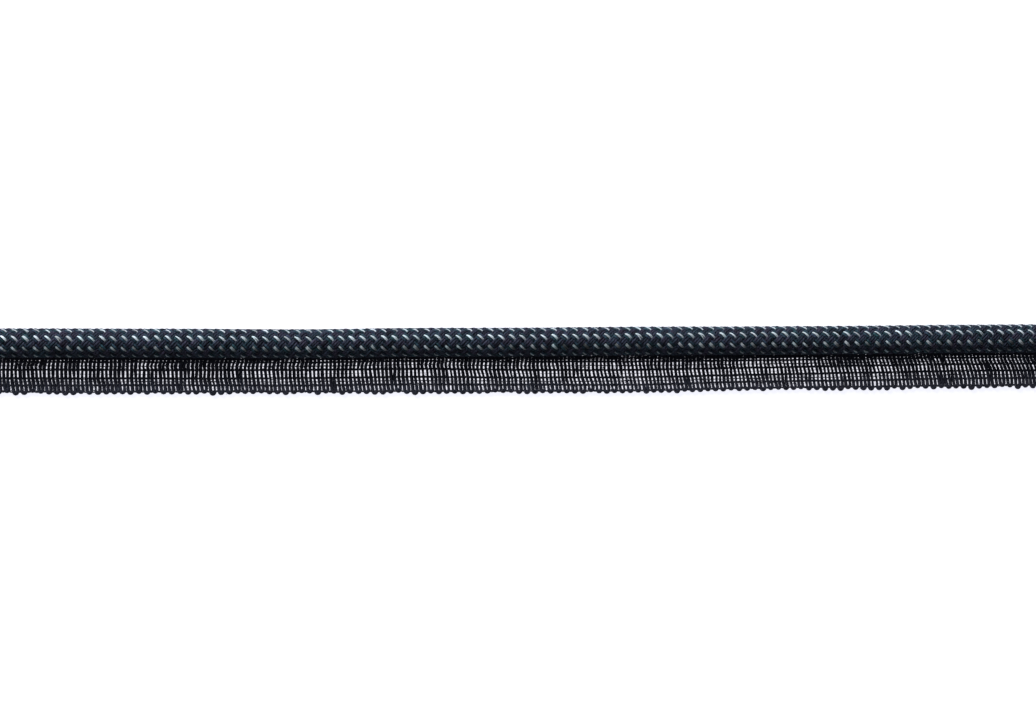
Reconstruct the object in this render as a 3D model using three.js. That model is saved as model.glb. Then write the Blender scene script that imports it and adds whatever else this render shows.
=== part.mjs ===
// A cut length of flanged piping cord, lying flat: a round plaited cord and the open tape that it
// is sewn down to by its edge. Millimetres, +X along the length, +Y towards the cord, +Z up.
import * as THREE from "three";

// The whole length and the cord.
const LENGTH = 230;
const CORD_RADIUS = 3.05; // to the crowns of the plait's floats
const PLAIT_COLUMNS = 16; // lines of floats around the cord, one for each strand
const PLAIT_CELLS = 105; // repeats of the plait along the length
const PLAIT_HOLLOW = 0.22; // from a float's crown down to the corner where four floats meet

// The tape.
const TAPE_THICKNESS = 1;
const TAPE_TUCK = 2; // from the cord's far edge to the tape's own edge, hidden under the cord
const TAPE_STEPS = 46; // along the length
const SEAT_GAP = 0.3; // between the tape and the cord on it
const RIB_FOOT = 0.6; // width of a warp rib where it leaves the tape's face
const RIB_CROWN = 0.24; // width of its top
const RIB_RISE = 0.2;
const LOOPS = 139; // weft loops along the free edge
const LOOP_NOTCH = 0.46; // from a loop's tip back to the notch beside it

// How the length lies, in a row for each of the evenly spaced stations from end to end. edge is the
// Y of the cord's far edge. turn is the angle, in degrees from the top towards the tape's side, of
// a line of the plait's floats, as the cord is sewn down a little twisted. The others are distances
// from the far edge towards -Y: the warp ribs, the last of which binds the feet of the loops, and
// the loops' tips.
const LIE = [
  { edge: 6.21, turn: 26, ribA: 6.85, ribB: 8.45, ribC: 10.17, ribD: 11.59, ribE: 12.75, tips: 13.32 },
  { edge: 6.21, turn: 25.5, ribA: 6.87, ribB: 8.47, ribC: 10.2, ribD: 11.62, ribE: 12.81, tips: 13.46 },
  { edge: 6.19, turn: 24.5, ribA: 6.9, ribB: 8.51, ribC: 10.23, ribD: 11.59, ribE: 12.77, tips: 13.38 },
  { edge: 6.11, turn: 23.5, ribA: 6.87, ribB: 8.41, ribC: 10.09, ribD: 11.59, ribE: 12.72, tips: 13.32 },
  { edge: 6.41, turn: 23.5, ribA: 6.87, ribB: 8.49, ribC: 10.15, ribD: 11.69, ribE: 12.99, tips: 13.62 },
  { edge: 6.49, turn: 23, ribA: 7.1, ribB: 8.81, ribC: 10.37, ribD: 11.89, ribE: 13.04, tips: 13.67 },
  { edge: 6.71, turn: 21.5, ribA: 7.26, ribB: 9, ribC: 10.55, ribD: 12.1, ribE: 13.21, tips: 13.86 },
  { edge: 6.81, turn: 19, ribA: 7.18, ribB: 8.72, ribC: 10.2, ribD: 11.66, ribE: 12.85, tips: 13.46 },
  { edge: 6.96, turn: 17, ribA: 7.04, ribB: 8.48, ribC: 9.95, ribD: 11.52, ribE: 12.74, tips: 13.5 },
  { edge: 7.21, turn: 15.5, ribA: 6.98, ribB: 8.37, ribC: 9.8, ribD: 11.37, ribE: 12.76, tips: 13.48 },
  { edge: 7.33, turn: 15, ribA: 6.93, ribB: 8.39, ribC: 9.78, ribD: 11.37, ribE: 12.71, tips: 13.32 },
];
const OPEN_RIBS = ["ribA", "ribB", "ribC", "ribD"];

// Reads one column of the table at x, on a smooth curve through the stations.
function lie(column, x) {
  const last = LIE.length - 1;
  const place = THREE.MathUtils.clamp((x / LENGTH + 0.5) * last, 0, last);
  const station = Math.min(Math.floor(place), last - 1);
  const value = (n) => LIE[THREE.MathUtils.clamp(n, 0, last)][column];
  const [before, start, end, after] = [-1, 0, 1, 2].map((n) => value(station + n));
  const slopeIn = (end - before) / 2;
  const slopeOut = (after - start) / 2;
  const t = place - station;
  const square = 3 * (end - start) - 2 * slopeIn - slopeOut;
  const cube = 2 * (start - end) + slopeIn + slopeOut;
  return start + t * (slopeIn + t * (square + t * cube));
}

// The cord: a cylinder whose points are raised at the crowns, where one strand crosses over
// another, and lowered at the corners between them. Crowns and corners alternate both ways.
function plaitedCord() {
  const rings = 2 * PLAIT_CELLS;
  const step = (2 * Math.PI) / PLAIT_COLUMNS;
  const height = TAPE_THICKNESS + SEAT_GAP + CORD_RADIUS;
  const geometry = new THREE.CylinderGeometry(
    CORD_RADIUS, CORD_RADIUS, LENGTH, PLAIT_COLUMNS, rings);
  geometry.rotateZ(-Math.PI / 2);
  const points = geometry.getAttribute("position");
  for (let n = 0; n < points.count; n += 1) {
    const x = points.getX(n);
    const onAxis = Math.hypot(points.getY(n), points.getZ(n)) < CORD_RADIUS / 2;
    const column = Math.round(Math.atan2(-points.getY(n), points.getZ(n)) / step);
    const ring = Math.round((x / LENGTH + 0.5) * rings);
    const isCrown = (column + ring) % 2 === 0;
    const reach = isCrown ? CORD_RADIUS : CORD_RADIUS - PLAIT_HOLLOW;
    const radius = onAxis ? 0 : reach;
    const angle = THREE.MathUtils.degToRad(lie("turn", x)) + column * step;
    const y = lie("edge", x) - CORD_RADIUS - radius * Math.sin(angle);
    points.setXYZ(n, x, y, height + radius * Math.cos(angle));
  }
  geometry.computeVertexNormals();
  return geometry;
}

// How far a loop reaches past or short of the line of tips, so that no two neighbours match.
function loopUnevenness(loop) {
  return 0.07 * Math.sin(2.1 * loop) + 0.05 * Math.sin(5.3 * loop);
}

// The free edge: for each loop its notch, its shoulder, its tip and its other shoulder.
function loopLine(z) {
  const pitch = LENGTH / LOOPS;
  const shape = [
    { along: 0, back: LOOP_NOTCH },
    { along: 0.2, back: 0.15 },
    { along: 0.5, back: 0 },
    { along: 0.8, back: 0.15 },
  ];
  const line = [];
  for (let loop = 0; loop <= LOOPS; loop += 1) {
    const steps = loop < LOOPS ? shape : shape.slice(0, 1);
    for (const { along, back } of steps) {
      const x = (loop + along) * pitch - LENGTH / 2;
      const grow = along > 0 ? loopUnevenness(loop) : 0;
      const drop = lie("tips", x) + grow - back;
      line.push(new THREE.Vector3(x, lie("edge", x) - drop, z));
    }
  }
  return line;
}

// A line of points along the length, at a distance from the cord's far edge and at one height.
function lengthLine(drop, z) {
  const line = [];
  for (let n = 0; n <= TAPE_STEPS; n += 1) {
    const x = (n / TAPE_STEPS - 0.5) * LENGTH;
    line.push(new THREE.Vector3(x, lie("edge", x) - drop(x), z));
  }
  return line;
}

// The lines of one warp rib in the open part of the tape: foot, crown, crown and foot.
const RIB_PROFILE = [
  { shift: -RIB_FOOT / 2, rise: 0 },
  { shift: -RIB_CROWN / 2, rise: RIB_RISE },
  { shift: RIB_CROWN / 2, rise: RIB_RISE },
  { shift: RIB_FOOT / 2, rise: 0 },
];

// The last rib has no outer foot: its crown falls straight to the loops.
const LAST_RIB_PROFILE = RIB_PROFILE.slice(0, 3);

function ribLines(rib, profile) {
  return profile.map(({ shift, rise }) =>
    lengthLine((x) => lie(rib, x) + shift, TAPE_THICKNESS + rise));
}

// The triangles between two lines that run the same way, whatever number of points each has.
function strip(from, to) {
  const triangles = [];
  let i = 0;
  let j = 0;
  while (i < from.length - 1 || j < to.length - 1) {
    const isLast = j === to.length - 1;
    const isNearer = i < from.length - 1 && !isLast && from[i + 1].x <= to[j + 1].x;
    if (isLast || isNearer) {
      triangles.push([from[i], to[j], from[i + 1]]);
      i += 1;
    } else {
      triangles.push([from[i], to[j], to[j + 1]]);
      j += 1;
    }
  }
  return triangles;
}

// The flat cut end of the tape, facing along direction, which is 1 or -1.
function cutEnd(section, direction) {
  const outline = section.map((point) => new THREE.Vector2(point.y, point.z));
  return THREE.ShapeUtils.triangulateShape(outline, []).map((face) => {
    const [a, b, c] = face.map((n) => section[n]);
    const normal = new THREE.Triangle(a, b, c).getNormal(new THREE.Vector3());
    return normal.x * direction > 0 ? [a, b, c] : [a, c, b];
  });
}

// The tape: a flat sheet from the hidden edge under the cord to the looped free edge, ribbed on
// its upper face by the warp. The lines go once around its section, so their strips close it.
function loopedTape() {
  const lines = [
    lengthLine(() => TAPE_TUCK, TAPE_THICKNESS),
    ...OPEN_RIBS.flatMap((rib) => ribLines(rib, RIB_PROFILE)),
    ...ribLines("ribE", LAST_RIB_PROFILE),
    loopLine(TAPE_THICKNESS),
    loopLine(0),
    lengthLine(() => TAPE_TUCK, 0),
  ];
  const sides = lines.flatMap((line, n) => strip(line, lines[(n + 1) % lines.length]));
  const start = cutEnd(lines.map((line) => line[0]), -1);
  const end = cutEnd(lines.map((line) => line[line.length - 1]), 1);
  const geometry = new THREE.BufferGeometry().setFromPoints([sides, start, end].flat(2));
  geometry.computeVertexNormals();
  return geometry;
}

function namedMesh(name, geometry, color, roughness) {
  const material = new THREE.MeshStandardMaterial({ color, roughness, metalness: 0 });
  const mesh = new THREE.Mesh(geometry, material);
  mesh.name = name;
  return mesh;
}

const flangedCord = new THREE.Group();
flangedCord.name = "flanged_cord";
flangedCord.add(namedMesh("cord", plaitedCord(), "#262e3c", 0.6));
flangedCord.add(namedMesh("tape", loopedTape(), "#1b1e29", 0.8));

export default flangedCord;
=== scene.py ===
"""Looks of a cut length of flanged piping cord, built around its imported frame.

A round cord of sixteen strands, plaited one over one, is sewn down along its side to an open tape.
The middle yarn of every strand that turns one way is pale and shows as a fleck wherever that strand
comes up. The tape is a single weft that runs to and fro across it and turns back in small loops at
the free edge, bound by twisted pairs of warp thread. All sizes are in millimetres, with +X along the
length and +Z up, and the meshes are written in metres.
"""

import logging
import math
from dataclasses import dataclass, field
from enum import Enum

import bpy
import numpy as np
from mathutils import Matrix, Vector


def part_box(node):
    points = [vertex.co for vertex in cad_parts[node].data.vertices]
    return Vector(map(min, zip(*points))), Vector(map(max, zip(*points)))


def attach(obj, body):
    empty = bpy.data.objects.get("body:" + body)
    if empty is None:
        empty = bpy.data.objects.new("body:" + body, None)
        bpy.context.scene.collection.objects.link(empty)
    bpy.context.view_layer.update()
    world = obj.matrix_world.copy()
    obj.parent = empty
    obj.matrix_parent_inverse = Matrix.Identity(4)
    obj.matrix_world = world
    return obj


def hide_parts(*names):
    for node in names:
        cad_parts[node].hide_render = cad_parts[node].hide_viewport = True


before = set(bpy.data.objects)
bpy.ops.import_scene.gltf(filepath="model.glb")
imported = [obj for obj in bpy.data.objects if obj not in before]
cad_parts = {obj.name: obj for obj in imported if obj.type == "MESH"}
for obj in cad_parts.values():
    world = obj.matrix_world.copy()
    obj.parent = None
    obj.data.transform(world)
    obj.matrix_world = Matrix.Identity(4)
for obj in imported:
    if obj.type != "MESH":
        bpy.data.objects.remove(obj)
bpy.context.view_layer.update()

LOG = logging.getLogger("flanged_cord")
BODY = "root"
MM = 0.001
PHOTO_WIDTH_PX = 1036
SENSOR_WIDTH_MM = 36.0
BAND_RADIANS = 20  # what Blender's band texture runs through for each unit, at scale one

# How the length lies, the same as in the part's source, with the lean of the tape's weft beside it.
# There is a row for each of the evenly spaced stations from end to end. edge is the Y of the cord's
# far edge. turn is the angle, in degrees from the top towards the tape's side, of a line of the
# plait's floats. rib_a to tips are distances from the far edge towards -Y. The lean columns say how
# far the weft has moved along X, next to where it crosses rib_b: under the cord's near edge, at
# rib_a, between rib_a and rib_b, and at rib_c, rib_d and the tips. weft is the weft's width.
LIE_COLUMNS = (
    "edge", "turn", "rib_a", "rib_b", "rib_c", "rib_d", "rib_e", "tips",
    "lean_head", "lean_a", "lean_ab", "lean_c", "lean_d", "lean_tips", "weft",
)
LIE_ROWS = (
    (6.21, 26.0, 6.85, 8.45, 10.17, 11.59, 12.75, 13.32, 0.20, 0.12, 0.00, 0.08, 0.19, 0.39, 0.62),
    (6.21, 25.5, 6.87, 8.47, 10.20, 11.62, 12.81, 13.46, 0.21, 0.15, 0.02, 0.09, 0.20, 0.43, 0.63),
    (6.19, 24.5, 6.90, 8.51, 10.23, 11.59, 12.77, 13.38, 0.27, 0.20, 0.04, 0.07, 0.20, 0.53, 0.63),
    (6.11, 23.5, 6.87, 8.41, 10.09, 11.59, 12.72, 13.32, 0.19, 0.10, -0.02, 0.12, 0.29, 0.53, 0.59),
    (6.41, 23.5, 6.87, 8.49, 10.15, 11.69, 12.99, 13.62, 0.10, 0.04, -0.04, 0.19, 0.37, 0.63, 0.59),
    (6.49, 23.0, 7.10, 8.81, 10.37, 11.89, 13.04, 13.67, -0.02, 0.00, -0.08, 0.26, 0.51, 0.82, 0.56),
    (6.71, 21.5, 7.26, 9.00, 10.55, 12.10, 13.21, 13.86, -0.07, -0.07, -0.11, 0.30, 0.58, 0.92, 0.53),
    (6.81, 19.0, 7.18, 8.72, 10.20, 11.66, 12.85, 13.46, -0.23, -0.20, -0.16, 0.30, 0.52, 0.86, 0.54),
    (6.96, 17.0, 7.04, 8.48, 9.95, 11.52, 12.74, 13.50, -0.43, -0.39, -0.20, 0.35, 0.59, 0.88, 0.58),
    (7.21, 15.5, 6.98, 8.37, 9.80, 11.37, 12.76, 13.48, -0.66, -0.57, -0.37, 0.47, 0.74, 1.02, 0.62),
    (7.33, 15.0, 6.93, 8.39, 9.78, 11.37, 12.71, 13.32, -0.74, -0.66, -0.45, 0.53, 0.80, 1.09, 0.63),
)

# How the stitches draw the pale yarns, by the angle around the cord, from the top towards the tape's
# side. width multiplies their width, depth is how much deeper they lie and tone is added to theirs.
# The tone column is painted shade: it darkens the flecks on the tape's side, where the cord is in
# shade.
DRAWN_COLUMNS = ("angle", "width", "depth", "tone")
DRAWN_ROWS = (
    (-95.0, 0.65, 0.03, 0.0),
    (-74.0, 0.60, 0.05, 0.0),
    (-60.0, 0.60, 0.06, 0.0),
    (-45.0, 0.80, 0.00, 0.0),
    (-32.0, 0.76, 0.00, 0.0),
    (-19.0, 1.42, 0.00, 0.0),
    (20.0, 1.40, -0.01, -1.2),
    (36.0, 0.85, -0.03, -1.8),
    (61.0, 0.70, 0.10, -0.2),
    (90.0, 0.65, 0.12, -0.2),
    (170.0, 0.90, 0.02, 0.0),
)


def linear(hex_colour: str) -> tuple[float, float, float, float]:
    """Turns an sRGB hex colour into a linear one with full alpha.

    Args:
        hex_colour: six hex digits, with a hash before them.

    Returns:
        Red, green, blue and alpha as Blender's sockets take them.
    """
    channels = [int(hex_colour[n:n + 2], 16) / 255 for n in (1, 3, 5)]
    decoded = [c / 12.92 if c <= 0.04045 else ((c + 0.055) / 1.055) ** 2.4 for c in channels]
    return (*decoded, 1.0)


def smooth_noise(rng: np.random.Generator, shape: tuple[int, ...], reach: int) -> np.ndarray:
    """Makes noise that wanders slowly along its last axis.

    White noise is averaged over a raised-cosine window and brought back to a spread of one.

    Args:
        rng: the seeded source of numbers.
        shape: the shape of the result.
        reach: half the window, in samples.

    Returns:
        An array of that shape with mean near zero and standard deviation of one.
    """
    window = 1 + np.cos(np.linspace(-np.pi, np.pi, 2 * reach + 3)[1:-1])
    raw = rng.standard_normal((*shape[:-1], shape[-1] + 2 * reach))
    windows = np.lib.stride_tricks.sliding_window_view(raw, 2 * reach + 1, axis=-1)
    return windows @ (window / np.sqrt((window ** 2).sum()))


def ramps(start: np.ndarray, place: np.ndarray, stations: np.ndarray,
          changes: np.ndarray) -> np.ndarray:
    """Adds changes to a value, each of them evenly over the span between two stations.

    Args:
        start: the value up to the first station.
        place: where to read it.
        stations: the stations, along the first axis.
        changes: the change in each span, along the first axis.

    Returns:
        The value at each place.
    """
    value = start
    for near, far, change in zip(stations[:-1], stations[1:], changes):
        value = value + change * np.clip((place - near) / (far - near), 0, 1)
    return value


def put_in_scene(name: str, data: bpy.types.ID) -> bpy.types.Object:
    """Makes an object and links it to the scene, at the origin.

    Args:
        name: its name.
        data: the mesh, light or camera that it shows.

    Returns:
        The new object.
    """
    made = bpy.data.objects.new(name, data)
    bpy.context.scene.collection.objects.link(made)
    return made


@dataclass(frozen=True)
class Lie:
    """How the length lies on the surface, read from the table of stations."""

    length: float
    columns: tuple[str, ...] = LIE_COLUMNS
    rows: tuple[tuple[float, ...], ...] = LIE_ROWS

    def at(self, column: str, x: np.ndarray) -> np.ndarray:
        """Reads one column at many places, on a smooth curve through the stations.

        Between two stations the value is a cubic whose slope at each of them is half the step
        from its neighbour before to its neighbour after.

        Args:
            column: the column's name.
            x: places along the length.

        Returns:
            The column's value at each place.
        """
        values = np.array(self.rows)[:, self.columns.index(column)]
        last = len(values) - 1
        place = np.clip((np.asarray(x) / self.length + 0.5) * last, 0, last)
        station = np.minimum(place.astype(int), last - 1)
        before, start, end, after = (values[np.clip(station + n, 0, last)] for n in (-1, 0, 1, 2))
        slope_in = (end - before) / 2
        slope_out = (after - start) / 2
        t = place - station
        square = 3 * (end - start) - 2 * slope_in - slope_out
        cube = 2 * (start - end) + slope_in + slope_out
        return start + t * (slope_in + t * (square + t * cube))


@dataclass
class Tubes:
    """Many tubes of one size of grid, to become one mesh.

    rings holds the points, shaped (tubes, steps, sides, 3), going round each tube so that its faces
    point out. along is the distance travelled in each tube, shaped (tubes, steps). tone is a number
    at each step, shaped the same, which the materials read as the attribute of that name.
    """

    rings: np.ndarray
    along: np.ndarray
    tone: np.ndarray

    def to_object(self, name: str, material: bpy.types.Material, ply_turn: float) -> bpy.types.Object:
        """Writes the tubes as one mesh object with closed ends.

        The piece's UV map is sheared, so that a straight stripe in it winds round the tube as the
        plies of a twisted yarn do: U is the distance travelled divided by the length of one turn,
        plus the share of the way round, and V is the share of the way round.

        Args:
            name: the piece's name.
            material: its finish.
            ply_turn: the length of yarn in which its twist goes once round.

        Returns:
            The new object, at the origin.
        """
        tubes, steps, sides, _ = self.rings.shape
        index = np.arange(tubes * steps * sides).reshape(tubes, steps, sides)
        beside = np.roll(index, -1, axis=2)
        corners = (index[:, :-1], beside[:, :-1], beside[:, 1:], index[:, 1:])
        quads = np.stack(corners, axis=-1).reshape(-1, 4)
        caps = np.concatenate([index[:, 0, ::-1], index[:, -1]])
        loops = np.concatenate([quads.ravel(), caps.ravel()])
        totals = np.concatenate([np.full(len(quads), 4), np.full(len(caps), sides)])

        mesh = bpy.data.meshes.new(name)
        mesh.vertices.add(index.size)
        mesh.vertices.foreach_set("co", (self.rings * MM).astype(np.float32).ravel())
        mesh.loops.add(len(loops))
        mesh.loops.foreach_set("vertex_index", loops.astype(np.int32))
        mesh.polygons.add(len(totals))
        starts = np.concatenate([[0], np.cumsum(totals)[:-1]])
        mesh.polygons.foreach_set("loop_start", starts.astype(np.int32))
        mesh.polygons.foreach_set("use_smooth", totals == 4)
        mesh.update(calc_edges=True)

        turns = np.broadcast_to((self.along / ply_turn)[:, :, None], index.shape)
        share = np.broadcast_to(np.arange(sides) / sides, index.shape)
        next_share = share + 1 / sides
        quad_turns = np.stack([turns[:, :-1], turns[:, :-1], turns[:, 1:], turns[:, 1:]], axis=-1)
        quad_share = np.stack(
            [share[:, :-1], next_share[:, :-1], next_share[:, 1:], share[:, 1:]], axis=-1)
        quad_uv = np.stack([quad_turns + quad_share, quad_share], axis=-1).reshape(-1, 2)
        uv = np.concatenate([quad_uv, np.zeros((caps.size, 2))])
        mesh.uv_layers.new(name="twist").data.foreach_set("uv", uv.astype(np.float32).ravel())
        tone = np.broadcast_to(self.tone[:, :, None], index.shape)
        layer = mesh.attributes.new("tone", "FLOAT", "POINT")
        layer.data.foreach_set("value", tone.astype(np.float32).ravel())

        mesh.materials.append(material)
        return put_in_scene(name, mesh)


def sweep(path: np.ndarray, half_width: np.ndarray, half_height: np.ndarray, sides: int,
          upright: tuple[float, float, float] = (0.0, 0.0, 1.0)) -> Tubes:
    """Carries an ellipse along paths.

    At each point the ellipse stands across the path. Its height lies in the plane of the path and
    upright, and its width across that plane.

    Args:
        path: points shaped (tubes, steps, 3).
        half_width: half the ellipse's width at each step, or one number.
        half_height: half its height, the same way.
        sides: corners of the section.
        upright: a direction that the paths never run along.

    Returns:
        The tubes, with a tone of zero.
    """
    ahead = np.gradient(path, axis=1)
    ahead /= np.linalg.norm(ahead, axis=-1, keepdims=True)
    up = np.array(upright) - (ahead @ np.array(upright))[..., None] * ahead
    up /= np.linalg.norm(up, axis=-1, keepdims=True)
    across = np.cross(up, ahead)
    turn = 2 * np.pi * np.arange(sides) / sides
    wide = np.broadcast_to(half_width, path.shape[:2])[..., None, None]
    high = np.broadcast_to(half_height, path.shape[:2])[..., None, None]
    section = (wide * np.cos(turn)[:, None] * across[:, :, None, :]
               + high * np.sin(turn)[:, None] * up[:, :, None, :])
    steps = np.linalg.norm(np.diff(path, axis=1), axis=-1)
    along = np.concatenate([np.zeros((len(path), 1)), np.cumsum(steps, axis=1)], axis=1)
    return Tubes(path[:, :, None, :] + section, along, np.zeros(path.shape[:2]))


def add_node(tree: bpy.types.NodeTree, kind: str, settings: dict | None = None,
             links: dict | None = None) -> bpy.types.Node:
    """Adds one node with its settings, values and links.

    Args:
        tree: the tree that it goes into.
        kind: Blender's name for the kind of node.
        settings: attribute names, or input names and numbers, to their values.
        links: input names or numbers to the output sockets that feed them.

    Returns:
        The new node.
    """
    node = tree.nodes.new(kind)
    for name, value in (settings or {}).items():
        if isinstance(name, str) and hasattr(node, name):
            setattr(node, name, value)
        else:
            node.inputs[name].default_value = value
    for name, socket in (links or {}).items():
        tree.links.new(socket, node.inputs[name])
    return node


def set_inputs(node: bpy.types.Node, values: dict) -> None:
    """Sets several inputs of a node by their names."""
    for name, value in values.items():
        node.inputs[name].default_value = value


def new_material(name: str) -> tuple[bpy.types.Material, bpy.types.NodeTree, bpy.types.Node]:
    """Makes a plain material.

    Args:
        name: its name.

    Returns:
        The material, its node tree and its shader.
    """
    made = bpy.data.materials.new(name)
    made.use_nodes = True
    shader = next(node for node in made.node_tree.nodes if node.type == "BSDF_PRINCIPLED")
    return made, made.node_tree, shader


@dataclass(frozen=True)
class YarnFinish:
    """A yarn of many fine filaments, twisted from plies.

    Its colour wanders between a base and two casts, in patches as wide as cast_patch, and the tone
    attribute lightens or darkens it. The plies show as slanting troughs from the twist map, and the
    filaments as a fine grain.
    """

    name: str
    base: str
    cast_one: str
    cast_two: str
    cast_patch: float
    cast_strength: float
    tone_strength: float
    roughness: float
    specular: float
    ply_depth: float
    filament: float
    filament_depth: float
    plies: int = 2
    sheen: float = 0.0
    sheen_tint: str = "#a9b8cc"
    sheen_roughness: float = 0.4

    def material(self) -> bpy.types.Material:
        """Builds the finish of procedural nodes.

        Returns:
            The material.
        """
        made, tree, shader = new_material(self.name)
        place = add_node(tree, "ShaderNodeTexCoord")
        twist = add_node(tree, "ShaderNodeUVMap", {"uv_map": "twist"})
        tone = add_node(tree, "ShaderNodeAttribute", {"attribute_name": "tone"})

        def cast(seed: float) -> bpy.types.Node:
            """Patches of one cast, as a number from 0 to 1."""
            noise = add_node(
                tree, "ShaderNodeTexNoise",
                {"noise_dimensions": "4D", "W": seed, "Scale": 1 / (self.cast_patch * MM),
                 "Detail": 2.0}, {"Vector": place.outputs["Object"]})
            return add_node(
                tree, "ShaderNodeMapRange",
                {"From Min": 0.42, "From Max": 0.68, "To Min": 0.0, "To Max": self.cast_strength},
                {"Value": noise.outputs["Fac"]})

        one = add_node(
            tree, "ShaderNodeMix",
            {"data_type": "RGBA", 6: linear(self.base), 7: linear(self.cast_one)},
            {"Factor": cast(1.0).outputs["Result"]})
        two = add_node(
            tree, "ShaderNodeMix", {"data_type": "RGBA", 7: linear(self.cast_two)},
            {"Factor": cast(5.0).outputs["Result"], 6: one.outputs[2]})
        scale = add_node(
            tree, "ShaderNodeMath",
            {"operation": "MULTIPLY_ADD", 1: self.tone_strength, 2: 1.0},
            {0: tone.outputs["Fac"]})
        toned = add_node(
            tree, "ShaderNodeVectorMath", {"operation": "SCALE"},
            {0: two.outputs[2], "Scale": scale.outputs["Value"]})
        tree.links.new(toned.outputs["Vector"], shader.inputs["Base Color"])

        wave = add_node(
            tree, "ShaderNodeTexWave",
            {"wave_type": "BANDS", "bands_direction": "X", "wave_profile": "SIN",
             "Scale": self.plies / BAND_RADIANS * 2 * math.pi, "Distortion": 0.0},
            {"Vector": twist.outputs["UV"]})
        plies = add_node(
            tree, "ShaderNodeBump",
            {"Strength": 1.0, "Distance": self.ply_depth * MM}, {"Height": wave.outputs["Fac"]})
        grain = add_node(
            tree, "ShaderNodeTexNoise",
            {"Scale": 1 / (self.filament * MM), "Detail": 2.0, "Roughness": 0.6},
            {"Vector": place.outputs["Object"]})
        filaments = add_node(
            tree, "ShaderNodeBump",
            {"Strength": 1.0, "Distance": self.filament_depth * MM},
            {"Height": grain.outputs["Fac"], "Normal": plies.outputs["Normal"]})
        tree.links.new(filaments.outputs["Normal"], shader.inputs["Normal"])

        set_inputs(shader, {
            "Roughness": self.roughness, "Specular IOR Level": self.specular,
            "Sheen Weight": self.sheen, "Sheen Roughness": self.sheen_roughness,
            "Sheen Tint": linear(self.sheen_tint)})
        return made


class Finish(Enum):
    """The finishes of the piece, each from the real yarn that it is."""

    # Continuous filament polyester, dyed navy with a teal cast: a soft gloss that follows the light.
    TEAL_NAVY = YarnFinish(
        name="teal_navy_filament_polyester", base="#2e414f", cast_one="#27494f", cast_two="#333950",
        cast_patch=1.5, cast_strength=0.8, tone_strength=0.4, roughness=0.55, specular=0.08,
        ply_depth=0.05, filament=0.12, filament_depth=0.02)
    # The same yarn from another dye lot, with a plum cast, in the strands that turn the other way.
    PLUM_NAVY = YarnFinish(
        name="plum_navy_filament_polyester", base="#353b4d", cast_one="#2f4552", cast_two="#3f384c",
        cast_patch=1.5, cast_strength=0.8, tone_strength=0.4, roughness=0.55, specular=0.08,
        ply_depth=0.05, filament=0.12, filament_depth=0.02)
    # Bright trilobal filament, nearly white with a blue cast: the fleck, glossier than the navy.
    PALE_FILAMENT = YarnFinish(
        name="pale_trilobal_filament", base="#d6e3ec", cast_one="#cae6ee", cast_two="#dce0ec",
        cast_patch=3.0, cast_strength=0.6, tone_strength=0.35, roughness=0.4, specular=0.3,
        sheen_tint="#ffffff", sheen_roughness=0.5, ply_depth=0.02, filament=0.1,
        filament_depth=0.015)
    # Spun polyester for the tape, matt and dark navy, with a little fluff that takes light.
    SPUN_TAPE = YarnFinish(
        name="spun_polyester_tape", base="#3f4151", cast_one="#3d4558", cast_two="#484353",
        cast_patch=4.0, cast_strength=0.6, tone_strength=0.3, roughness=0.85, specular=0.1,
        sheen=0.5, sheen_tint="#9aa2b8", sheen_roughness=0.6, ply_depth=0.06, filament=0.1,
        filament_depth=0.03)
    # Single fibres teased out of that yarn, paler and greyer than the yarn: painted light, standing
    # in for the table's light that shines through such thin fibres.
    TEASED_FIBRE = YarnFinish(
        name="teased_polyester_fibre", base="#767e94", cast_one="#6e8094", cast_two="#807e98",
        cast_patch=4.0, cast_strength=0.6, tone_strength=0.3, roughness=0.8, specular=0.1,
        sheen=0.5, sheen_tint="#9aa2b8", sheen_roughness=0.6, ply_depth=0.01, filament=0.1,
        filament_depth=0.01)


@dataclass(frozen=True)
class PaleYarn:
    """Sizes of the pale yarn, which has two flat plies, and how uneven it is from float to float.

    plumps and unevens are ranges of factors, the first for its width and the second for how far
    the stitches draw it in. The values with spread in their names are standard deviations.
    """

    sides: int = 5
    ply_width: float = 0.2
    ply_height: float = 0.3
    ply_offset: float = 0.085
    ply_rises: tuple[float, float] = (0.03, 0.035)
    second_tone_drop: float = 0.15
    plumps: tuple[float, float] = (0.68, 1.17)
    unevens: tuple[float, float] = (0.4, 1.5)
    tone_spread: float = 0.5
    dullest: float = -2.4
    deepest_sink: float = 0.04
    sway_spread: float = 0.06
    stray_share: float = 0.06
    stray_reach: float = 0.22
    stray_lift: float = 0.4
    ply_turn: float = 0.9


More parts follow.
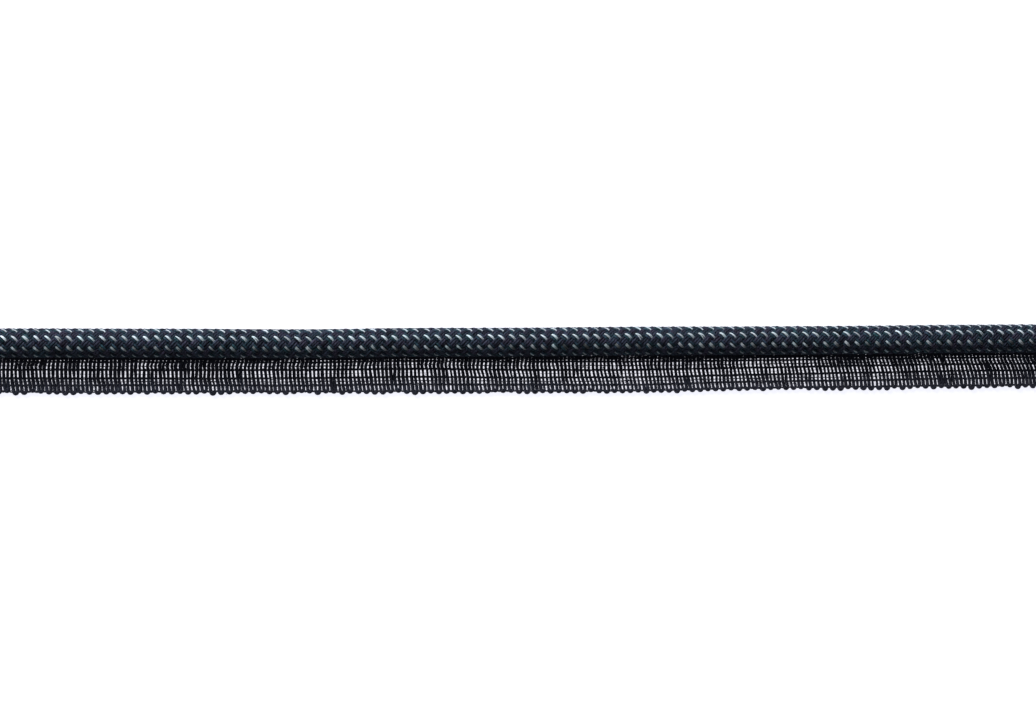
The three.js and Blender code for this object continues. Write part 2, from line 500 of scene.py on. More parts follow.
@dataclass
class PlaitedCord:
    """The round cord: sixteen strands of three yarns, plaited one over one around a filling.

    Places along it are counted in rings, half a repeat of the plait apart. A strand that turns
    towards the tape's side lies on top at every even ring, where it is at an even column, and one
    that turns the other way at every odd ring. At each ring every strand has moved on a column.
    The navy yarns' unevenness is given by spreads, which are standard deviations.
    """

    lie: Lie
    radius: float = 3.05
    columns: int = 16
    cells: int = 105
    axis_height: float = 4.35
    steps_per_ring: int = 4
    sides: int = 6
    yarn_width: float = 0.47
    yarn_height: float = 0.4
    yarn_spacing: float = 0.46
    yarn_ply_turn: float = 1.4
    lift: float = 0.21
    proud: float = 0.03
    other_way_drop: float = 0.05
    crown_drop: float = 0.05
    float_turn: float = 0.055
    hidden_from: float = 0.3
    hidden_for: float = 0.4
    offset_spread: float = 0.025
    rise_spread: float = 0.015
    plump_spread: float = 0.06
    float_tone_spread: float = 0.5
    tone_spread: float = 0.4
    pale: PaleYarn = PaleYarn()
    heart_radius: float = 2.3
    heart_ply_turn: float = 4.0

    @property
    def ring_step(self) -> float:
        """Distance along the cord between rings."""
        return self.lie.length / (2 * self.cells)

    @property
    def floats(self) -> int:
        """Floats for which each strand has values, which go one past each end of the length."""
        return self.cells + 2

    @property
    def middle_radius(self) -> float:
        """Radius that a yarn's middle swings about as it goes over and under."""
        return self.radius + self.proud - self.yarn_height / 2 - self.lift

    @property
    def helix(self) -> float:
        """Angle between a strand and the cord's axis."""
        return math.atan(self.middle_radius * 2 * math.pi / self.columns / self.ring_step)

    def rings(self) -> np.ndarray:
        """Ring numbers of the steps along every yarn, whole at each ring."""
        return np.arange(2 * self.cells * self.steps_per_ring + 1) / self.steps_per_ring

    def to_points(self, x: np.ndarray, angle: np.ndarray, radius: np.ndarray) -> np.ndarray:
        """Turns places around the cord into points.

        Args:
            x: place along the length.
            angle: angle about the cord's axis, from the top towards the tape's side.
            radius: distance from the axis.

        Returns:
            Points, with a last axis of three.
        """
        y = self.lie.at("edge", x) - self.radius - radius * np.sin(angle)
        z = self.axis_height + radius * np.cos(angle)
        return np.stack(np.broadcast_arrays(x, y, z), axis=-1)

    def yarn_tubes(self, strands: np.ndarray, hand: int, offset: np.ndarray, rise: np.ndarray,
                   width: np.ndarray, height: np.ndarray, tone: np.ndarray, sides: int) -> Tubes:
        """Lays one yarn in each of several strands that turn the same way.

        A strand's angle grows by one column a ring for hand 1 and shrinks by one for hand -1, and
        a sine of the ring turns each float a little towards the cord's length. A yarn beside the
        strand's middle is turned a little further round. Its height follows a cosine c that peaks
        where it crosses the middle of the strand beneath, which comes earlier or later by
        offset / (2 sin helix), flattened at its crests to (3 c - c^3) / 2. Each section lies in a
        plane across the cord, so the two ends are flat cuts.

        Args:
            strands: numbers of the strands, from 0.
            hand: 1 for strands that turn towards the tape's side, -1 for the others.
            offset: distance from the strand's middle, shaped (yarns, steps).
            rise: height above the plain path, the same shape.
            width: the yarn's width, the same shape.
            height: its thickness, the same shape.
            tone: the tone attribute, the same shape.
            sides: corners of the yarn's section.

        Returns:
            The yarns as tubes.
        """
        ring = self.rings()
        x = ring * self.ring_step - self.lie.length / 2
        column = 2 * strands[:, None] + (ring if hand == 1 else 2 - ring)
        shift = offset / (2 * math.sin(self.helix) * self.ring_step)
        offset = offset - self.float_turn * np.sin(np.pi * ring)
        swing = hand * np.cos(np.pi * (ring + hand * shift))
        swing = swing * (3 - swing * swing) / 2
        radius = self.middle_radius + self.lift * swing + rise
        radius = radius - self.crown_drop * (offset / self.yarn_spacing) ** 2
        around = 1 / (math.cos(self.helix) * radius)
        first = np.radians(self.lie.at("turn", x))
        angle = first + column * 2 * np.pi / self.columns + offset * around

        turn = 2 * np.pi * np.arange(sides) / sides
        ring_angle = angle[..., None] - (width / 2 * around)[..., None] * np.cos(turn)
        ring_radius = radius[..., None] + (height / 2)[..., None] * np.sin(turn)
        points = self.to_points(x[None, :, None], ring_angle, ring_radius)
        travel = x / math.cos(self.helix)
        return Tubes(points, np.broadcast_to(travel, angle.shape), tone)

    def wander(self, rng: np.random.Generator, yarns: int, reach_rings: float) -> np.ndarray:
        """Slow random wandering along each yarn, with a spread of one."""
        steps = len(self.rings())
        return smooth_noise(rng, (yarns, steps), int(reach_rings * self.steps_per_ring))

    def float_values(self, values: np.ndarray, hand: int) -> np.ndarray:
        """Spreads one value for each float along its strand.

        A strand's floats are two rings apart. The value holds at the float's middle and changes
        evenly to the next one's while the strand is hidden under its neighbours.

        Args:
            values: shaped (strands, floats).
            hand: 1 or -1, as in yarn_tubes.

        Returns:
            Values shaped (strands, steps).
        """
        ring = self.rings()
        place = (ring + (0 if hand == 1 else 1)) / 2
        left = np.clip(np.floor(place).astype(int), 0, values.shape[1] - 2)
        between = np.clip((place - left - self.hidden_from) / self.hidden_for, 0, 1)
        return values[:, left] * (1 - between) + values[:, left + 1] * between

    def navy_yarns(self, hand: int, strands: range, places: tuple[float, ...], seed: int) -> Tubes:
        """Makes the navy yarns of some strands.

        Args:
            hand: 1 or -1, as in yarn_tubes.
            strands: numbers of the strands.
            places: the yarns' places across a strand, in yarn spacings.
            seed: seed of the unevenness.

        Returns:
            The yarns as tubes.
        """
        rng = np.random.default_rng(seed)
        numbers = np.repeat(np.array(strands), len(places))
        offset = np.tile(places, len(strands))[:, None] * self.yarn_spacing
        offset = offset + self.offset_spread * self.wander(rng, len(numbers), 3)
        rise = self.rise_spread * self.wander(rng, len(numbers), 2)
        rise = rise - (self.other_way_drop if hand == -1 else 0.0)
        plump = 1 + self.plump_spread * self.wander(rng, len(numbers), 2)
        tones = rng.normal(0, self.float_tone_spread, (len(numbers), self.floats))
        tone = self.float_values(tones, hand)
        tone = tone + self.tone_spread * self.wander(rng, len(numbers), 1)
        return self.yarn_tubes(
            numbers, hand, offset, rise, self.yarn_width * plump, self.yarn_height * plump, tone,
            self.sides)

    def drawn(self, strands: np.ndarray, column: str) -> np.ndarray:
        """Reads how the pale yarns change around the cord, from one column of DRAWN_ROWS.

        On the tape's side the stitches draw the strands together, so the pale yarns there are
        narrower and lie deeper between their neighbours. The tone column darkens them there, as
        painted shade on the cord's shaded side.

        Args:
            strands: numbers of strands of hand 1.
            column: the column's name.

        Returns:
            The value, shaped (strands, steps).
        """
        ring = self.rings()
        turn = self.lie.at("turn", ring * self.ring_step - self.lie.length / 2)
        angle = turn + (2 * strands[:, None] + ring) * 360 / self.columns
        table = np.array(DRAWN_ROWS)
        values = table[:, DRAWN_COLUMNS.index(column)]
        return np.interp(angle, table[:, DRAWN_COLUMNS.index("angle")], values, period=360)

    def pale_yarns(self, seed: int) -> Tubes:
        """Makes the pale yarn in the middle of each strand that turns towards the tape's side.

        It has two flat plies. From float to float they are wide or thin, bright or dull, but never
        duller than the tone dullest, and on a few floats the second ply strays sideways over its
        neighbour, so that the fleck forks.

        Args:
            seed: seed of the unevenness.

        Returns:
            The plies as tubes.
        """
        rng = np.random.default_rng(seed)
        pale = self.pale
        strands = np.arange(self.columns // 2)
        shape = (len(strands), self.floats)
        plump = self.float_values(rng.uniform(*pale.plumps, shape), 1)
        plump = plump * self.drawn(strands, "width")
        bright = self.float_values(rng.normal(0, pale.tone_spread, shape), 1)
        # painted shade: the tone column darkens the flecks on the tape's side of the cord
        bright = bright + self.drawn(strands, "tone")
        bright = np.maximum(bright, pale.dullest)
        uneven = self.float_values(rng.uniform(*pale.unevens, shape), 1)
        sink = -self.float_values(pale.deepest_sink * rng.random(shape) ** 2, 1)
        sink = sink - uneven * self.drawn(strands, "depth")
        strays = np.where(rng.random(shape) < pale.stray_share, pale.stray_reach, 0.0)
        stray = self.float_values(strays, 1)
        sway = self.float_values(rng.normal(0, pale.sway_spread, shape), 1)
        parting = (1 + np.sin(np.pi * self.rings())) / 2
        first = sway - pale.ply_offset * plump
        second = sway + pale.ply_offset * plump + stray * parting
        offset = np.concatenate([first, second])
        first_rise, second_rise = pale.ply_rises
        rise = np.concatenate(
            [first_rise + sink, second_rise + sink + pale.stray_lift * stray * parting])
        width = pale.ply_width * np.concatenate([plump, plump])
        height = np.full_like(width, pale.ply_height)
        tone = np.concatenate([bright, bright - pale.second_tone_drop])
        numbers = np.tile(strands, 2)
        return self.yarn_tubes(numbers, 1, offset, rise, width, height, tone, pale.sides)

    def heart(self) -> Tubes:
        """Makes the filling that the strands lie on, which shows only at the two cut ends.

        Returns:
            One straight round tube.
        """
        x = np.linspace(-self.lie.length / 2, self.lie.length / 2, self.cells + 1)
        turn = 2 * np.pi * np.arange(self.columns) / self.columns
        rings = self.to_points(x[:, None], -turn, self.heart_radius)[None]
        return Tubes(rings, (x - x[0])[None], np.zeros((1, len(x))))

    def centre_line(self, points: int = 24) -> np.ndarray:
        """Points along the middle of the cord."""
        x = np.linspace(-self.lie.length / 2, self.lie.length / 2, points)
        return self.to_points(x, 0.0, 0.0)

    def build(self, teal: bpy.types.Material, plum: bpy.types.Material,
              pale: bpy.types.Material) -> None:
        """Args:
            teal: the finish of the ground yarns beside the pale one.
            plum: the finish of the strands that turn the other way.
            pale: the finish of the fleck.
        """
        outer, whole = (-1.0, 1.0), (-1.0, 0.0, 1.0)
        turn, half = self.yarn_ply_turn, self.columns // 4
        main = self.navy_yarns(1, range(2 * half), outer, seed=11).to_object(
            "cord_strands_one_way", teal, turn)
        others = [
            self.navy_yarns(-1, range(half), whole, seed=12).to_object(
                "cord_strands_other_way_a", plum, turn),
            self.navy_yarns(-1, range(half, 2 * half), whole, seed=13).to_object(
                "cord_strands_other_way_b", plum, turn),
            self.pale_yarns(seed=14).to_object("cord_pale_yarns", pale, self.pale.ply_turn),
            self.heart().to_object("cord_heart", plum, self.heart_ply_turn),
        ]
        line = self.centre_line()
        for piece in (main, *others):
            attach(piece, BODY)
        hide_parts("cord")
        report([main, *others])


@dataclass(frozen=True)
class LooseFibres:
    """Sizes of the fibres teased out of the tape, and how they lie.

    Each of rows has the warp lines that the fibres lie between and their number. They gather in
    clumps of per_clump on average. Pairs are ranges, and names with spread standard deviations.
    """

    rows: tuple[tuple[str, str, int], ...] = (
        ("rib_a", "rib_b", 2200), ("rib_b", "rib_c", 450), ("rib_c", "rib_d", 1750),
        ("rib_d", "rib_e", 1800))
    steps: int = 4
    sides: int = 3
    per_clump: int = 7
    clump_spread: float = 1.8
    end_share: float = 0.492
    row_shares: tuple[float, float] = (0.05, 0.95)
    bend_spread: float = 1.6
    kink_spread: float = 0.35
    lengths: tuple[float, float] = (0.5, 1.4)
    flattening: float = 0.7
    sunk: float = 0.2
    heights: tuple[float, float] = (0.0, 0.25)
    curl_height: float = 0.05
    half_widths: tuple[float, float] = (0.03, 0.05)
    ply_turn: float = 1.0


@dataclass
class LoopedTape:
    """The open tape: one weft that runs to and fro, with lines of warp that bind it.

    The weft's bars are in pairs, each pair joined by a loop at the free edge, and each pair is
    joined to the next by a turn at the hidden edge under the cord. fullest is the most that a bar
    swells, as a factor of weft_width, so that some light always passes between two bars.
    heading_lines is the number of warp lines under the cord, heading_start the first one's distance
    from rib_a and heading_pitch the distance from one to the next. Each of tie_rows has the warp
    lines that the tie runs between and its width. Names with spread are standard deviations.
    """

    lie: Lie
    loops: int = 139
    tuck: float = 2.0
    near_edge: float = 6.1
    height: float = 0.5
    seat_drop: float = 3.05
    seat_rise: float = 0.3
    seat_reach: float = 1.2
    weft_width: float = 0.59
    loop_plump: float = 1.52
    foot_swell: float = 0.18
    row_swells: tuple[float, ...] = (0.12, 0.1, -0.02, 0.0, 0.02)
    zone_swells: tuple[float, ...] = (0.0, 0.09, 0.0, 0.03, 0.0)
    fullest: float = 1.28
    bar_swell: float = 0.04
    zone_reach: int = 9
    loop_scatter: float = 0.11
    loop_depth: float = 1.22
    bar_steps: int = 26
    turn_steps: int = 7
    weft_sides: int = 6
    weft_flatness: float = 0.95
    weft_ply_turn: float = 0.8
    weft_height_spread: float = 0.025
    thick_spread: float = 0.1
    bar_thick_spread: float = 0.05
    weft_tone_spread: float = 0.6
    last_rib_shift: float = 0.1
    warp_width: float = 0.26
    warp_height: float = 0.19
    warp_steps: int = 4
    warp_sides: int = 4
    thread_ply_turn: float = 0.5
    thread_sway_spread: float = 0.03
    thread_swell_spread: float = 0.12
    twist_reach: float = 0.11
    heading_lines: int = 11
    heading_start: float = -0.5
    heading_pitch: float = 0.36
    heading_width: float = 0.31
    heading_steps: int = 2
    heading_sides: int = 3
    tie_rows: tuple[tuple[str, str, float], ...] = (
        ("rib_a", "rib_b", 0.2), ("rib_b", "rib_c", 0.1), ("rib_c", "rib_d", 0.2))
    tie_clearance: float = 0.05
    tie_flatness: float = 0.8
    tie_steps: int = 4
    tie_sides: int = 4
    fibres: LooseFibres = LooseFibres()
    stitch_steps: int = 12
    stitch_sides: int = 5
    stitch_middle: float = 1.15
    stitch_rise: float = 0.85
    stitch_sway: float = 0.5
    stitch_radius: float = 0.13
    stitch_ply_turn: float = 0.6
    slow_sway: float = 0.07
    quick_sway: float = 0.035
    most_quick_sway: float = 2.2
    seed: int = 31
    line_seed_step: int = 10
    tie_seed: int = 200
    fibre_seed: int = 300
    bars: np.ndarray = field(init=False)
    knot_drops: np.ndarray = field(init=False)
    knot_leans: np.ndarray = field(init=False)

    def __post_init__(self) -> None:
        """Sets where the bars cross rib_b, and how far each has moved at its other knots."""
        rng = np.random.default_rng(self.seed)
        count = 2 * self.loops
        x = (np.arange(count) + 0.5) * self.lie.length / count - self.lie.length / 2
        at = self.lie.at
        none = np.zeros(count)
        knots = (
            (none + self.tuck, at("lean_head", x)),
            (none + self.near_edge, at("lean_head", x)),
            (at("rib_a", x), at("lean_a", x)),
            ((at("rib_a", x) + at("rib_b", x)) / 2, at("lean_ab", x)),
            (at("rib_b", x), none),
            (at("rib_c", x), at("lean_c", x)),
            (at("rib_d", x), at("lean_d", x)),
            (at("tips", x), at("lean_tips", x)),
        )
        self.bars = x
        self.knot_drops, leans = (np.stack(values) for values in zip(*knots))
        slow = self.slow_sway * smooth_noise(rng, leans.shape, 5)
        most = self.most_quick_sway
        quick = self.quick_sway * np.clip(rng.standard_normal(leans.shape), -most, most)
        self.knot_leans = leans + slow + quick

    def lean(self, bar: np.ndarray, drop: np.ndarray) -> np.ndarray:
        """How far a bar has moved along X at a distance from the cord's far edge.

        It changes evenly from knot to knot.

        Args:
            bar: the bar's number.
            drop: distance from the cord's far edge.

        Returns:
            The move along X.
        """
        leans = self.knot_leans[:, bar]
        return ramps(leans[0], drop, self.knot_drops[:, bar], np.diff(leans, axis=0))

    def loop_unevenness(self, loop: np.ndarray) -> np.ndarray:
        """How far each loop reaches past or short of the line of tips, as in the part's source."""
        return 0.07 * np.sin(2.1 * loop) + 0.05 * np.sin(5.3 * loop)

    def level(self, drop: np.ndarray) -> np.ndarray:
        """Height of the weft's middle, which the stitches draw up to the cord beneath its middle.

        It is height + seat_rise exp(-((drop - seat_drop) / seat_reach)^2).

        Args:
            drop: distance from the cord's far edge.

        Returns:
            The height at each distance.
        """
        away = (drop - self.seat_drop) / self.seat_reach
        return self.height + self.seat_rise * np.exp(-away ** 2)

    def to_points(self, x: np.ndarray, drop: np.ndarray, z: np.ndarray) -> np.ndarray:
        """Turns places on the tape into points."""
        y = self.lie.at("edge", x) - drop
        return np.stack(np.broadcast_arrays(x, y, z), axis=-1)

    def zones(self, rng: np.random.Generator, drop: np.ndarray) -> np.ndarray:
        """How much fuller or thinner the bars are in zones of the tape, from one row to the next.

        Between two warp lines it is one plus that row's row_swells, plus its zone_swells times slow
        noise along the length, plus bar_swell times noise from bar to bar. It changes evenly from
        the middle of one row to the middle of the next.

        Args:
            rng: the seeded source of numbers.
            drop: distances from the cord's far edge, shaped (bars, steps).

        Returns:
            The factor for the weft's width, the same shape.
        """
        ribs = ("rib_a", "rib_b", "rib_c", "rib_d", "rib_e")
        lines = [np.full(len(self.bars), self.tuck)]
        lines += [self.lie.at(rib, self.bars) for rib in ribs]
        rows = (np.stack(lines[:-1]) + np.stack(lines[1:])) / 2
        swell = np.array(self.zone_swells)[:, None]
        swell = swell * smooth_noise(rng, (len(rows), len(self.bars)), self.zone_reach)
        swell = swell + self.bar_swell * rng.standard_normal(swell.shape)
        swell = (swell + np.array(self.row_swells)[:, None])[..., None]
        return ramps(1 + swell[0], drop, rows[..., None], np.diff(swell, axis=0))

    def weft(self) -> Tubes:
        """Makes the weft as one long tube.

        Each bar is a line from the hidden edge to the feet of the loops. The turns are half ovals
        as wide as the distance between the two bars that they join, and loop_depth times half of
        that deep. No bar is thicker than fullest times weft_width.

        Returns:
            The weft as one tube.
        """
        rng = np.random.default_rng(self.seed + 1)
        count = len(self.bars)
        pitch = self.bars[1] - self.bars[0]
        bar = np.arange(count)
        loop_radius = pitch / 2
        half = self.weft_width / 2
        loop = bar // 2
        scatter = self.loop_scatter * np.clip(rng.standard_normal(self.loops), -2, 2)[loop]
        reach = self.loop_unevenness(loop) + scatter
        foot = self.lie.at("tips", self.bars) + reach - half * self.loop_plump - loop_radius
        top = self.tuck + half + loop_radius
        share = np.linspace(0, 1, self.bar_steps)
        drop = top + (foot - top)[:, None] * share
        x = self.bars[:, None] + self.lean(np.broadcast_to(bar[:, None], drop.shape), drop)
        height = self.level(drop) + self.weft_height_spread * smooth_noise(rng, drop.shape, 4)
        thick = 1 + self.thick_spread * smooth_noise(rng, drop.shape, 4)
        thick = thick + self.bar_thick_spread * rng.standard_normal((count, 1))
        thick = thick * (self.lie.at("weft", self.bars) / self.weft_width)[:, None]
        thick = thick * (1 + self.foot_swell * share ** 3) * self.zones(rng, drop)
        thick = np.minimum(thick, self.fullest)
        run = self.to_points(x, drop, height)

        down = (bar % 2 == 0)[:, None]
        run = np.where(down[..., None], run, run[:, ::-1])
        thick = np.where(down, thick, thick[:, ::-1])
        end, start = run[:-1, -1], run[1:, 0]
        middle, arm = (end + start) / 2, (end - start) / 2
        angle = np.linspace(0, np.pi, self.turn_steps + 2)[1:-1]
        side = np.where(bar[:-1] % 2 == 0, -1.0, 1.0)
        outward = np.zeros_like(middle)
        outward[:, 1] = side * np.abs(arm[:, 0]) * self.loop_depth
        turns = (middle[:, None] + arm[:, None] * np.cos(angle)[None, :, None]
                 + outward[:, None] * np.sin(angle)[None, :, None])
        turn_thick = 1 + (self.loop_plump - 1) * np.sin(angle) * np.ones((count - 1, 1))

        path = np.concatenate([np.concatenate([run[:-1], turns], axis=1).reshape(-1, 3), run[-1]])
        plump = np.concatenate(
            [np.concatenate([thick[:-1], turn_thick], axis=1).ravel(), thick[-1]])
        wide = half * plump[None]
        tubes = sweep(path[None], wide, wide * self.weft_flatness, self.weft_sides)
        tubes.tone = smooth_noise(rng, (1, path.shape[0]), 20) * self.weft_tone_spread
        return tubes

    def crossing_line(self, column: str, shift: float) -> tuple[np.ndarray, np.ndarray]:
        """Where a line of warp crosses every bar.

        Args:
            column: the distance column it follows.
            shift: distance to add to it.

        Returns:
            The bars' places along X at that line, and the line's distance at each.
        """
        drop = self.lie.at(column, self.bars) + shift
        return self.bars + self.lean(np.arange(len(self.bars)), drop), drop

    def thread(self, x: np.ndarray, drop: np.ndarray, phase: float, sideways: float,
               rise: float, width: float, steps: int, seed: int) -> tuple[np.ndarray, np.ndarray]:
        """Works out the path of one thread that goes over one bar and under the next.

        From bar to bar it makes half a turn about the line: its height is a cosine and its place
        to the side a sine of that turn.

        Args:
            x: the bars' places.
            drop: the line's distance at each bar.
            phase: the turn at the first bar.
            sideways: reach to each side.
            rise: reach above and below the weft.
            width: the thread's mean width.
            steps: steps from one bar to the next.
            seed: seed of the unevenness.

        Returns:
            The path, shaped (1, steps, 3), and the thread's width along it.
        """
        rng = np.random.default_rng(seed)
        bars = np.arange(len(x))
        count = np.arange((len(x) - 1) * steps + 1) / steps
        turn = np.pi * count + phase
        here = np.interp(count, bars, x)
        away = np.interp(count, bars, drop) + sideways * np.sin(turn)
        away = away + self.thread_sway_spread * smooth_noise(rng, away.shape, 3 * steps)
        height = self.level(away) + rise * np.cos(turn)
        swell = width * (1 + self.thread_swell_spread * smooth_noise(rng, away.shape, 2 * steps))
        return self.to_points(here, away, height)[None], swell[None]

    def bundle(self, threads: list[tuple[np.ndarray, np.ndarray]], flatness: float,
               sides: int) -> Tubes:
        """Makes tubes of several threads.

        Args:
            threads: what thread gives, for each.
            flatness: their thickness divided by their width.
            sides: corners of the section.

        Returns:
            The threads as tubes.
        """
        paths, widths = (np.concatenate(parts) for parts in zip(*threads))
        return sweep(paths, widths / 2, widths / 2 * flatness, sides)

    def warp(self, lines: tuple[tuple[str, float], ...], width: float, steps: int,
             sides: int) -> Tubes:
        """Makes lines of warp: in each, two threads twist about one another round every bar.

        Args:
            lines: for each line the distance column that it follows and a distance to add.
            width: the threads' width.
            steps: steps from bar to bar.
            sides: corners of the section.

        Returns:
            The threads as tubes.
        """
        rise = self.weft_width / 2 + self.warp_height / 2
        threads = [
            self.thread(
                *self.crossing_line(column, shift), phase, self.twist_reach, rise, width, steps,
                self.seed + self.line_seed_step * number + int(phase))
            for number, (column, shift) in enumerate(lines) for phase in (0.0, np.pi)]
        return self.bundle(threads, self.warp_height / self.warp_width, sides)

    def ties(self) -> Tubes:
        """Makes the thin threads that cross the bars half way between the lines of warp.

        Returns:
            The threads as tubes.
        """
        rise = self.weft_width / 2 + self.tie_clearance
        threads = []
        for number, (column, after, width) in enumerate(self.tie_rows):
            _, near = self.crossing_line(column, 0.0)
            _, far = self.crossing_line(after, 0.0)
            drop = (near + far) / 2
            x = self.bars + self.lean(np.arange(len(self.bars)), drop)
            threads.append(self.thread(
                x, drop, 0.0, 0.0, rise, width, self.tie_steps, self.seed + self.tie_seed + number))
        return self.bundle(threads, self.tie_flatness, self.tie_sides)

    def fluff(self) -> Tubes:
        """Makes the loose fibres that lie tangled on the tape, most of them on the tied rows.

        Each fibre is a short curve: its heading turns evenly along it and a little at random.

        Returns:
            The fibres as tubes.
        """
        rng = np.random.default_rng(self.seed + self.fibre_seed)
        sizes = self.fibres
        end = sizes.end_share * self.lie.length
        places = []
        for near, far, number in sizes.rows:
            clumps = rng.uniform(-0.5, 0.5, number // sizes.per_clump) * self.lie.length
            x = rng.choice(clumps, number) + rng.normal(0, sizes.clump_spread, number)
            x = np.clip(x, -end, end)
            share = rng.uniform(*sizes.row_shares, number)
            near_drop, far_drop = self.lie.at(near, x), self.lie.at(far, x)
            places.append(np.stack([x, near_drop + (far_drop - near_drop) * share]))
        x, drop = np.concatenate(places, axis=1)
        one_each, all_steps = (len(x), 1), (len(x), sizes.steps)
        bend = rng.uniform(0, 2 * np.pi, one_each)
        bend = bend + rng.normal(0, sizes.bend_spread, one_each) * np.linspace(-1, 1, sizes.steps)
        heading = bend + rng.normal(0, sizes.kink_spread, all_steps)
        stride = rng.uniform(*sizes.lengths, one_each) / sizes.steps
        along = x[:, None] + np.cumsum(stride * np.cos(heading), axis=1)
        across = drop[:, None] + sizes.flattening * np.cumsum(stride * np.sin(heading), axis=1)
        top = self.height + self.weft_width / 2
        height = top - sizes.sunk + rng.uniform(*sizes.heights, one_each)
        height = height + sizes.curl_height * np.sin(heading)
        path = self.to_points(along, across, height)
        half = rng.uniform(*sizes.half_widths, one_each) * np.ones((1, sizes.steps))
        return sweep(path, half, half, sizes.sides)

    def seam(self) -> Tubes:
        """Makes the stitches that hold the cord down, between its underside and the tape.

        The thread rises into the cord and drops through the tape once for every pair of bars, and
        sways to one side as it rises and to the other as it drops.

        Returns:
            The thread as one tube.
        """
        pitch = self.lie.length / self.loops
        count = np.arange(self.loops * self.stitch_steps + 1) / self.stitch_steps
        x = count * pitch - self.lie.length / 2
        z = self.stitch_middle + self.stitch_rise * np.cos(2 * np.pi * count)
        drop = self.near_edge / 2 + self.stitch_sway * np.sin(2 * np.pi * count)
        path = self.to_points(x, drop, z)[None]
        radius = self.stitch_radius
        return sweep(path, radius, radius, self.stitch_sides, upright=(0.0, 1.0, 0.0))

    def build(self, material: bpy.types.Material, teased: bpy.types.Material) -> None:
        """Args:
            material: the finish of all its threads.
            teased: the finish of the fibres that are loose.
        """
        ribs = tuple((column, 0.0) for column in ("rib_a", "rib_b", "rib_c", "rib_d"))
        ribs += (("rib_e", self.last_rib_shift),)
        heading = tuple(
            ("rib_a", self.heading_start - self.heading_pitch * n) for n in range(self.heading_lines))
        turn = self.thread_ply_turn
        main = self.weft().to_object("tape_weft", material, self.weft_ply_turn)
        others = [
            self.warp(ribs, self.warp_width, self.warp_steps, self.warp_sides).to_object(
                "tape_warp", material, turn),
            self.warp(
                heading, self.heading_width, self.heading_steps, self.heading_sides).to_object(
                    "tape_heading", material, turn),
            self.ties().to_object("tape_ties", material, turn),
            self.fluff().to_object("tape_fluff", teased, self.fibres.ply_turn),
            self.seam().to_object("tape_seam", material, self.stitch_ply_turn),
        ]
        for piece in (main, *others):
            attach(piece, BODY)
        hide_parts("tape")
        width = float(np.mean(self.lie.at("tips", self.bars))) - self.tuck
        report([main, *others])


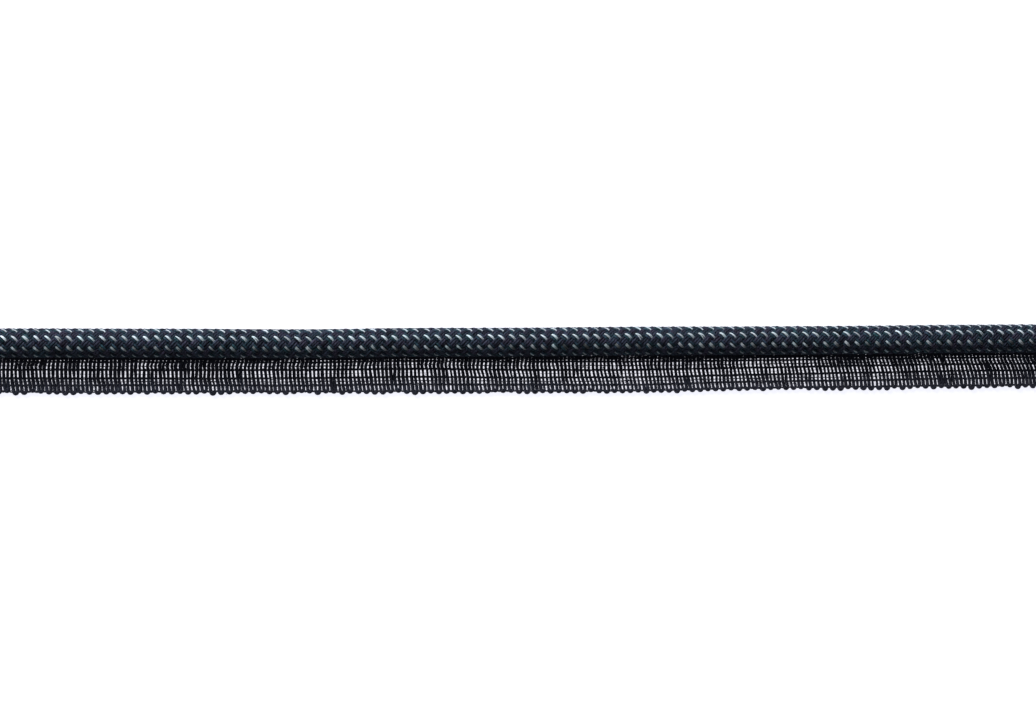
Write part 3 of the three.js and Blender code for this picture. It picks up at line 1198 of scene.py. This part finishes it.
@dataclass(frozen=True)
class Studio:
    """A pale table lit from beneath, a large soft light on the cord's side, and the camera above.

    The table is brightest from straight above and paler grey from low down, where the cord's soft
    shadow shows on it. To the camera it glows twice as bright as the light it sheds on the piece:
    painted light that whitens the cord's shadow on it as seen from above.
    """

    aim: tuple[float, float, float] = (-2.08, 0.145, 6.9)
    distance: float = 650.0
    tilt_deg: float = 7.5
    pixels_per_mm: float = 4.883
    floor_colour: str = "#b4b4b4"
    glow_colour: str = "#f0f1fb"
    glow_above: float = 1.01
    glow_low: float = 0.83
    glow_on_piece: float = 0.5
    floor_size: float = 8000.0
    floor_gap: float = 0.02
    key_elevation_deg: float = 26.0
    key_azimuth_deg: float = 35.0
    key_distance: float = 900.0
    key_size: float = 500.0
    key_power: float = 9.6
    sky_strength: float = 0.085
    backdrop_colour: str = "#e6e6e8"
    nearest_m: float = 0.01
    farthest_m: float = 20.0

    def camera(self) -> None:
        """Places the camera, straight over the length but leaning back to its left end.

        The lean makes the right end a little smaller, as in the photograph. The lens is the
        sensor's width times the distance and the scale, over the picture's width in pixels.
        """
        data = bpy.data.cameras.new("camera")
        data.sensor_width = SENSOR_WIDTH_MM
        data.lens = SENSOR_WIDTH_MM * self.distance * self.pixels_per_mm / PHOTO_WIDTH_PX
        data.clip_start, data.clip_end = self.nearest_m, self.farthest_m
        camera = put_in_scene("camera", data)
        tilt = math.radians(self.tilt_deg)
        back = np.array([-math.sin(tilt), 0.0, math.cos(tilt)])
        camera.location = (np.array(self.aim) + self.distance * back) * MM
        camera.rotation_euler = (0.0, -tilt, 0.0)
        bpy.context.scene.camera = camera

    def floor(self) -> None:
        """Lays the table just under the piece, as a plain flat sheet."""
        half, height = self.floor_size / 2 * MM, -self.floor_gap * MM
        corners = [(-half, -half, height), (half, -half, height), (half, half, height),
                   (-half, half, height)]
        mesh = bpy.data.meshes.new("floor")
        mesh.from_pydata(corners, [], [(0, 1, 2, 3)])
        material, tree, shader = new_material("light_table_with_painted_glow")
        set_inputs(shader, {
            "Base Color": linear(self.floor_colour), "Emission Color": linear(self.glow_colour),
            "Roughness": 0.9, "Specular IOR Level": 0.1})
        facing = add_node(tree, "ShaderNodeLayerWeight", {"Blend": 0.5})
        seen = add_node(
            tree, "ShaderNodeMapRange", {"To Min": self.glow_above, "To Max": self.glow_low},
            {"Value": facing.outputs["Facing"]})
        # painted light: the camera sees the full glow, while the piece is lit by only glow_on_piece
        # of it
        path = add_node(tree, "ShaderNodeLightPath")
        share = add_node(
            tree, "ShaderNodeMapRange", {"To Min": self.glow_on_piece, "To Max": 1.0},
            {"Value": path.outputs["Is Camera Ray"]})
        glow = add_node(
            tree, "ShaderNodeMath", {"operation": "MULTIPLY"},
            {0: seen.outputs["Result"], 1: share.outputs["Result"]})
        tree.links.new(glow.outputs["Value"], shader.inputs["Emission Strength"])
        mesh.materials.append(material)
        floor = put_in_scene("floor", mesh)

    def light(self) -> None:
        """Hangs the soft light on the cord's side, to the left."""
        elevation, azimuth = math.radians(self.key_elevation_deg), math.radians(self.key_azimuth_deg)
        data = bpy.data.lights.new("key", "AREA")
        data.shape = "SQUARE"
        data.size = self.key_size * MM
        data.energy = self.key_power
        key = put_in_scene("key", data)
        away = Vector((
            -math.cos(elevation) * math.sin(azimuth), math.cos(elevation) * math.cos(azimuth),
            math.sin(elevation)))
        key.location = away * self.key_distance * MM
        key.rotation_euler = away.to_track_quat("Z", "Y").to_euler()

    def room(self) -> None:
        """Makes the room: a pale backdrop to look at, which lights the piece only faintly."""
        world = bpy.data.worlds.new("room")
        world.use_nodes = True
        tree = world.node_tree
        faint = tree.nodes["Background"]
        set_inputs(faint, {"Color": linear("#ffffff"), "Strength": self.sky_strength})
        backdrop = add_node(
            tree, "ShaderNodeBackground", {"Color": linear(self.backdrop_colour), "Strength": 1.0})
        path = add_node(tree, "ShaderNodeLightPath")
        mixed = add_node(
            tree, "ShaderNodeMixShader", {},
            {0: path.outputs["Is Camera Ray"], 1: faint.outputs["Background"],
             2: backdrop.outputs["Background"]})
        output = next(node for node in tree.nodes if node.type == "OUTPUT_WORLD")
        tree.links.new(mixed.outputs["Shader"], output.inputs["Surface"])
        bpy.context.scene.world = world

    def build(self) -> None:
        """Builds the whole studio, with colours shown as they are."""
        bpy.context.scene.view_settings.view_transform = "Standard"
        self.camera()
        self.floor()
        self.light()
        self.room()


def report(pieces: list[bpy.types.Object]) -> None:
    """Logs each piece with its size in triangles.

    Args:
        pieces: the pieces.
    """
    for piece in pieces:
        triangles = sum(len(polygon.vertices) - 2 for polygon in piece.data.polygons)
        LOG.info("%s: %d triangles", piece.name, triangles)


def write_sizes() -> None:
    """Updates the view layer."""
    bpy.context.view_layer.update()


def main() -> None:
    """Builds the studio, the cord and the tape in order."""
    logging.basicConfig(level=logging.INFO, format="%(name)s: %(message)s")
    low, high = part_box("cord")
    lie = Lie(length=(high[0] - low[0]) / MM)
    Studio().build()
    teal, plum, pale, tape, teased = (finish.value.material() for finish in Finish)
    PlaitedCord(lie).build(teal, plum, pale)
    LoopedTape(lie).build(tape, teased)
    write_sizes()


if __name__ == "__main__":
    main()
